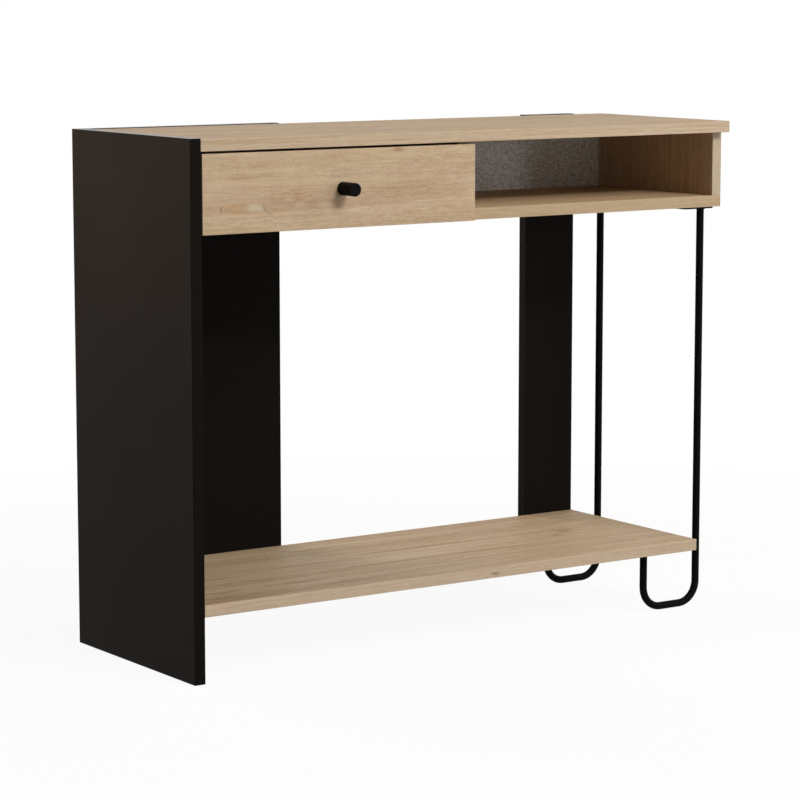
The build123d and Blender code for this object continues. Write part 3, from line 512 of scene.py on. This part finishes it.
class Recipe(Graph):
    """A Geometry Nodes tree for fittings. Its points say where each one goes and their attribute
    "towards" says which way its face looks. Sizes are in millimetres."""

    def __init__(self, name, inputs):
        super().__init__(bpy.data.node_groups.new(name, "GeometryNodeTree"))
        face = self.tree.interface
        face.new_socket("Points", in_out="INPUT", socket_type="NodeSocketGeometry")
        self.identifiers = {
            label: face.new_socket(label, in_out="INPUT", socket_type="NodeSocket" + kind).identifier
            for label, kind in {**inputs, "Seed": "Int", "Material": "Material"}.items()}
        face.new_socket("Geometry", in_out="OUTPUT", socket_type="NodeSocketGeometry")
        self.start = self.tree.nodes.new("NodeGroupInput")

    def given(self, label):
        """The value of a named input."""
        return Value(self, self.start.outputs[label])

    def joined(self, *shapes):
        return self.node("GeometryNodeJoinGeometry", {}, {"Geometry": list(shapes)})

    def moved(self, shape, shift=(0.0, 0.0, 0.0), scale=(1.0, 1.0, 1.0)):
        return self.node("GeometryNodeTransform", {},
                         {"Geometry": shape, "Translation": shift, "Scale": scale})

    def random(self, low, high):
        return self.node("FunctionNodeRandomValue", {"data_type": "FLOAT"},
                         {"Min_001": low, "Max_001": high, "Seed": self.given("Seed")}, "Value_001")

    def close(self, shape):
        """Ends the tree: the shape at every point, turned its own way, as real geometry."""
        fitting = self.moved(shape, scale=(MILLIMETRE,) * 3)
        towards = self.node("GeometryNodeInputNamedAttribute", {"data_type": "FLOAT_VECTOR"},
                            {"Name": "towards"})
        stance = self.node("FunctionNodeAlignRotationToVector", {"axis": "Z"}, {"Vector": towards})
        placed = self.node("GeometryNodeInstanceOnPoints", {},
                           {"Points": self.given("Points"), "Instance": fitting,
                            "Rotation": stance})
        turned = self.node("GeometryNodeRotateInstances", {},
                           {"Instances": placed,
                            "Rotation": self.vector(0.0, 0.0, self.random(0.0, math.pi))})
        real = self.node("GeometryNodeRealizeInstances", {}, {"Geometry": turned})
        painted = self.node("GeometryNodeSetMaterial", {},
                            {"Geometry": real, "Material": self.given("Material")})
        self.node("NodeGroupOutput", {}, {"Geometry": painted})

    def make(self, name, places, sizes, slot, body):
        """A plain mesh piece with a fitting at each (point, way it looks), riding on the body."""
        seeds = bpy.data.meshes.new(name + "_points")
        seeds.from_pydata([tuple(point) for point, _ in places], [], [])
        towards = seeds.attributes.new("towards", "FLOAT_VECTOR", "POINT")
        towards.data.foreach_set("vector", [part for _, way in places for part in way])
        maker = bpy.data.objects.new(name + "_maker", seeds)
        bpy.context.scene.collection.objects.link(maker)
        modifier = maker.modifiers.new("recipe", "NODES")
        modifier.node_group = self.tree
        for label, value in {**sizes, "Seed": len(name), "Material": slot_finishes[slot]}.items():
            modifier[self.identifiers[label]] = value
        bpy.context.view_layer.update()
        ready = maker.evaluated_get(bpy.context.evaluated_depsgraph_get())
        mesh = bpy.data.meshes.new_from_object(ready)
        bpy.data.objects.remove(maker)
        mesh.name = name
        mesh.shade_smooth()
        mesh.set_sharp_from_angle(angle=math.radians(SHARP_ANGLE))
        piece = bpy.data.objects.new(name, mesh)
        bpy.context.scene.collection.objects.link(piece)
        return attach(piece, body)


def weld_recipe():
    """A ring of overlapping weld beads round a rod."""
    weld = Recipe("weld_ring", {"Rod Radius": "Float", "Bead Radius": "Float", "Beads": "Int"})
    ring = weld.node("GeometryNodeCurvePrimitiveCircle", {},
                     {"Resolution": weld.given("Beads"), "Radius": weld.given("Rod Radius")})
    steps = weld.node("GeometryNodeCurveToPoints", {"mode": "EVALUATED"}, {"Curve": ring})
    bead = weld.node("GeometryNodeMeshUVSphere", {},
                     {"Segments": 10, "Rings": 7, "Radius": weld.given("Bead Radius")})
    size = weld.random(0.85, 1.1)
    beads = weld.node("GeometryNodeInstanceOnPoints", {},
                      {"Points": steps, "Instance": bead, "Rotation": steps.also("Rotation"),
                       "Scale": weld.vector(size, size, size * 0.75)})
    weld.close(weld.node("GeometryNodeRealizeInstances", {}, {"Geometry": beads}))
    return weld


def screw_recipe():
    """A wood screw with a cross recess. Its head ends at the point and its shank goes in."""
    screw = Recipe("cross_head_screw",
                   {"Face Radius": "Float", "Seat Radius": "Float", "Head Height": "Float",
                    "Shank Radius": "Float", "Length": "Float", "Recess Width": "Float",
                    "Recess Depth": "Float"})
    head_height, shank = screw.given("Head Height"), screw.given("Shank Radius")
    head = screw.node("GeometryNodeMeshCone", {},
                      {"Vertices": 40, "Radius Top": screw.given("Face Radius"),
                       "Radius Bottom": screw.given("Seat Radius"), "Depth": head_height})
    head = screw.moved(head, screw.vector(0.0, 0.0, head_height * -1))
    width, depth = screw.given("Recess Width"), screw.given("Recess Depth")
    bars = [screw.node("GeometryNodeMeshCube", {}, {"Size": screw.vector(*size)})
            for size in ((width, width * 0.2, depth * 2), (width * 0.2, width, depth * 2))]
    point = screw.node("GeometryNodeMeshCone", {},
                       {"Vertices": 16, "Radius Top": width * 0.27, "Radius Bottom": width * 0.10,
                        "Depth": depth * 1.2})
    point = screw.moved(point, screw.vector(0.0, 0.0, depth * -1.1))
    cut = screw.node("GeometryNodeMeshBoolean", {"operation": "DIFFERENCE", "solver": "EXACT"},
                     {"Mesh 1": head, "Mesh 2": [*bars, point]})
    straight = screw.given("Length") - head_height - shank * 2
    stem = screw.node("GeometryNodeMeshCylinder", {},
                      {"Vertices": 20, "Radius": shank, "Depth": straight})
    stem = screw.moved(stem, screw.vector(0.0, 0.0, straight * -0.5 - head_height))
    tip = screw.node("GeometryNodeMeshCone", {},
                     {"Vertices": 20, "Radius Top": shank, "Radius Bottom": shank * 0.08,
                      "Depth": shank * 2})
    tip = screw.moved(tip, screw.vector(0.0, 0.0, screw.given("Length") * -1))
    screw.close(screw.joined(cut, stem, tip))
    return screw


def single_boxes(node):
    """The (lowest, highest) corner of each separate solid of a CAD node that holds a group."""
    mesh = nodes[node].data
    corners = [tuple(round(part, 6) for part in vertex.co) for vertex in mesh.vertices]
    leader = {corner: corner for corner in corners}

    def first(corner):
        while leader[corner] != corner:
            leader[corner] = leader[leader[corner]]
            corner = leader[corner]
        return corner

    for face in mesh.polygons:
        start = first(corners[face.vertices[0]])
        for index in face.vertices[1:]:
            leader[first(corners[index])] = start
    groups = {}
    for corner in leader:
        groups.setdefault(first(corner), []).append(corner)
    return [(Vector(map(min, zip(*group))), Vector(map(max, zip(*group))))
            for group in groups.values()]


def head_places(node, way):
    """Where each screw of a node has the middle of its head's face, and the way it looks there.
    way gives the direction for the middle of a screw."""
    places = []
    for low, high in single_boxes(node):
        middle, half = (low + high) / 2, (high - low) / 2
        towards = way(middle)
        places.append((middle + Vector(h * t for h, t in zip(half, towards)), towards))
    return places


def screws(node, body, way, face, seat, head_height, shank, length, recess, depth):
    """Cross-head screws in place of a CAD node's plain ones. Sizes in millimetres."""
    piece = cross_head_screw.make(
        node + "_cross_head", head_places(node, way),
        {"Face Radius": face / 2, "Seat Radius": seat / 2, "Head Height": head_height,
         "Shank Radius": shank / 2, "Length": length, "Recess Width": recess,
         "Recess Depth": depth}, "zinc_steel", body)
    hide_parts(node)


drawer_middle = (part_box("drawer_front")[0].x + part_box("drawer_front")[1].x) / 2
away_from_middle = lambda middle: LEFT if middle.x < drawer_middle else RIGHT
to_the_middle = lambda middle: RIGHT if middle.x < drawer_middle else LEFT
cross_head_screw = screw_recipe()
screws("plate_screws", "carcass", lambda middle: DOWN, 7.9, 4.0, 1.95, 4.0, 16.0, 4.6, 1.7)
screws("cabinet_runner_screws", "carcass", to_the_middle, 6.5, 3.5, 1.5, 3.5, 13.0, 3.9, 1.3)
screws("drawer_runner_screws", "drawer", lambda middle: DOWN, 5.4, 6.5, 1.7, 3.5, 9.8, 3.6, 1.2)
screws("drawer_back_screws", "drawer", away_from_middle, 7.9, 4.0, 1.95, 4.0, 35.0, 4.6, 1.7)
screws("drawer_bottom_screws", "drawer", lambda middle: DOWN, 5.4, 6.5, 1.7, 3.5, 15.8, 3.6, 1.2)
screws("knob_screw", "drawer", lambda middle: BACK, 6.6, 7.9, 2.3, 4.0, 34.3, 4.4, 1.6)


def rod_welds(leg, plate_above, branch):
    """Weld ring where a rod's branch, its low or high X, meets the underside of a plate."""
    low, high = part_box(leg)
    radius = (high.y - low.y) / 2
    x = low.x + radius if branch == "inner" else high.x - radius
    point = Vector((x, (low.y + high.y) / 2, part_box(plate_above)[0].z - 0.5 * MILLIMETRE))
    return point, DOWN


weld_places = [rod_welds(side + "_rod_leg", side + plate, branch) for side in ("front", "rear")
               for plate, branch in (("_top_plate", "outer"), ("_shelf_plate", "inner"))]
weld_recipe().make("rod_welds", weld_places, {"Rod Radius": 6.5, "Bead Radius": 1.5, "Beads": 30},
                   "black_steel", "carcass")


# ---------------------------------------------------------------- floor, world, lamps, camera
DESK_MIDDLE = Vector((0.0, 0.0, 0.5))
FLOOR_HALF = 9.0
FLOOR_DROP = 0.0005
AMBIENT = 0.06
LOOK_DOWN, LOOK_RIGHT = 7.997, 34.314


def seen_directly(graph):
    """1 for rays that show the background as it is: from the camera, off gloss and through glass."""
    kinds = [graph.node("ShaderNodeLightPath", {}, {}, ray)
             for ray in ("Is Camera Ray", "Is Glossy Ray", "Is Transmission Ray")]
    return graph.math("MAXIMUM", graph.math("MAXIMUM", kinds[0], kinds[1]), kinds[2])


def studio_floor():
    """Large white floor. Near the desk it keeps the shadow, further out it is plain white."""
    paint = Finish("floor_white")
    away = paint.length(paint.place())
    glow_share = 0.93 + away.step(0.8, 2.0) * 0.07
    matt = paint.node("ShaderNodeBsdfDiffuse", {}, {"Color": (0.93, 0.93, 0.93, 1)})
    glow = paint.node("ShaderNodeEmission", {}, {"Color": (1, 1, 1, 1), "Strength": 1.0})
    seen = paint.node("ShaderNodeMixShader", {}, {0: glow_share, 1: matt, 2: glow})
    dull = paint.node("ShaderNodeBsdfDiffuse", {}, {"Color": (0.45, 0.45, 0.45, 1)})
    both = paint.node("ShaderNodeMixShader", {}, {0: seen_directly(paint), 1: dull, 2: seen})
    paint.node("ShaderNodeOutputMaterial", {}, {"Surface": both})
    half = FLOOR_HALF
    mesh = bpy.data.meshes.new("floor")
    mesh.from_pydata([(-half, -half, 0), (half, -half, 0), (half, half, 0), (-half, half, 0)], [],
                     [(0, 1, 2, 3)])
    mesh.materials.append(paint.material)
    floor = bpy.data.objects.new("floor", mesh)
    floor.location.z = -FLOOR_DROP
    bpy.context.scene.collection.objects.link(floor)


def studio_world(ambient):
    """White where it is seen directly, and a soft grey light otherwise."""
    world = bpy.data.worlds.new("studio")
    bpy.context.scene.world = world
    world.use_nodes = True
    world.node_tree.nodes.clear()
    sky = Graph(world.node_tree)
    colour = sky.colour_mix(seen_directly(sky), (ambient, ambient, ambient, 1), (1, 1, 1, 1))
    background = sky.node("ShaderNodeBackground", {}, {"Color": colour, "Strength": 1.0})
    sky.node("ShaderNodeOutputWorld", {}, {"Surface": background})


def lamp(name, direction, distance, width, height, level, colour=(1, 1, 1)):
    """Soft lamp that gives a face turned to it this level of light at the middle of the desk."""
    data = bpy.data.lights.new(name, "AREA")
    data.shape = "RECTANGLE"
    data.size = width
    data.size_y = height
    data.energy = level * (math.pi * distance) ** 2
    data.color = colour
    lit = bpy.data.objects.new(name, data)
    towards = Vector(direction).normalized()
    lit.location = DESK_MIDDLE + towards * distance
    lit.rotation_euler = towards.to_track_quat("Z", "Y").to_euler()
    lit.visible_camera = False
    bpy.context.scene.collection.objects.link(lit)


def studio_camera():
    """The camera of the catalogue view, from the front left."""
    data = bpy.data.cameras.new("camera")
    data.sensor_width = 36.0
    data.lens = 134.84
    data.clip_end = 60.0
    camera = bpy.data.objects.new("camera", data)
    camera.location = (-2.651, -3.8387, 1.017)
    camera.rotation_euler = (math.radians(90 - LOOK_DOWN), 0.0, math.radians(-LOOK_RIGHT))
    bpy.context.scene.collection.objects.link(camera)
    bpy.context.scene.camera = camera


studio_floor()
studio_world(AMBIENT)
lamp("key_lamp", (0.25, -1.0, 0.61), 7.0, 2.7, 0.72, 0.50)
lamp("upper_lamp", (0.25, -1.0, 0.90), 7.0, 2.8, 0.6, 0.165)
lamp("top_lamp", (0.0, -0.6, 1.0), 7.0, 4.0, 2.5, 0.10)
lamp("low_strip", (0.0, -1.0, 0.05), 7.0, 10.0, 1.0, 0.045)
lamp("low_right_lamp", (0.60, -1.0, 0.12), 7.0, 0.7, 0.7, 0.065)
lamp("right_lamp", (1.0, -0.6, 0.55), 7.0, 2.5, 2.5, 0.27)
lamp("warm_lamp", (-0.60, 0.80, 0.22), 3.6, 2.0, 2.0, 0.29, (1.0, 0.57, 0.29))
lamp("back_lamp", (-0.25, 1.0, 0.5), 6.0, 2.0, 2.0, 0.20)
studio_camera()
bpy.context.scene.view_settings.view_transform = "Standard"
